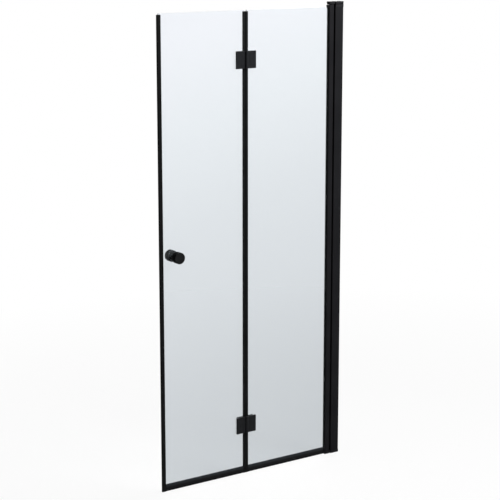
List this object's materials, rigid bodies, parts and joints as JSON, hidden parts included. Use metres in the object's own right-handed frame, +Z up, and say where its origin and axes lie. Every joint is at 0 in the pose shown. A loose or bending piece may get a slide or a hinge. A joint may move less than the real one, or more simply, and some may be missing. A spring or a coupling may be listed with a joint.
{
  "type": "bifold shower door",
  "caption": "Trackless bifold shower door: black framed clear glass leaves fold on front hinges and swing in from a wall channel, with a round knob on both sides.",
  "frame": {"origin": "on the wall plane at the back of the wall channel, in the middle of the glass thickness, at floor level", "axes": "+X points into the wall, so the closed door runs along -X from it; -Y is the dry side, from which the door is seen; +Z is up"},
  "size_m": [0.87, 0.08, 1.9],
  "materials": {
    "black_aluminium": "matt black powder-coated aluminium extrusion",
    "black_fittings": "satin black coated zinc and brass castings",
    "black_plastic": "fine-textured black moulded plastic",
    "black_seal": "smooth soft black extruded seal",
    "clear_glass": "clear toughened glass with polished edges",
    "stainless_steel": "plain stainless steel",
    "white_nylon": "natural white nylon"
  },
  "bodies": {
    "wall_frame": {"wall_channel": "black_aluminium", "adjusting_profile": "black_aluminium", "nose_seal": "black_seal", "fixing_screws": "stainless_steel", "fixing_covers": "black_plastic", "top_cap": "black_plastic", "bottom_cap": "black_plastic", "cap_screws": "stainless_steel", "top_bush": "black_plastic", "bottom_bush": "black_plastic"},
    "inner_leaf": {"pivot_stile": "black_aluminium", "stile_top_end": "black_plastic", "stile_bottom_end": "black_plastic", "upper_pivot_pin": "stainless_steel", "lower_pivot_pin": "stainless_steel", "glazing_gasket": "black_seal", "inner_glass": "clear_glass", "inner_fold_seal": "black_seal", "inner_bottom_seal": "black_seal", "upper_hinge_inner_plate": "black_fittings", "upper_hinge_inner_clamp": "black_fittings", "upper_hinge_pin": "stainless_steel", "lower_hinge_inner_plate": "black_fittings", "lower_hinge_inner_clamp": "black_fittings", "lower_hinge_pin": "stainless_steel", "inner_hinge_gaskets": "black_seal", "inner_hinge_screws": "stainless_steel", "hinge_washers": "black_plastic"},
    "outer_leaf": {"outer_glass": "clear_glass", "closing_seal": "black_seal", "outer_fold_seal": "black_seal", "outer_bottom_seal": "black_seal", "upper_hinge_outer_plate": "black_fittings", "upper_hinge_outer_clamp": "black_fittings", "lower_hinge_outer_plate": "black_fittings", "lower_hinge_outer_clamp": "black_fittings", "outer_hinge_gaskets": "black_seal", "outer_hinge_screws": "stainless_steel", "front_knob": "black_fittings", "rear_knob": "black_fittings", "knob_stud": "stainless_steel", "knob_sleeve": "white_nylon", "knob_washers": "black_seal"}
  },
  "joints": [
    {"name": "wall_pivot", "type": "hinge", "parent": "wall_frame", "child": "inner_leaf", "pos_m": [-0.05025, 0, 0.95], "axis": [0, 0, -1], "range_deg": [0, 90]},
    {"name": "fold", "type": "hinge", "parent": "inner_leaf", "child": "outer_leaf", "pos_m": [-0.47, -0.011, 0.95], "axis": [0, 0, 1], "range_deg": [0, 174]}
  ]
}
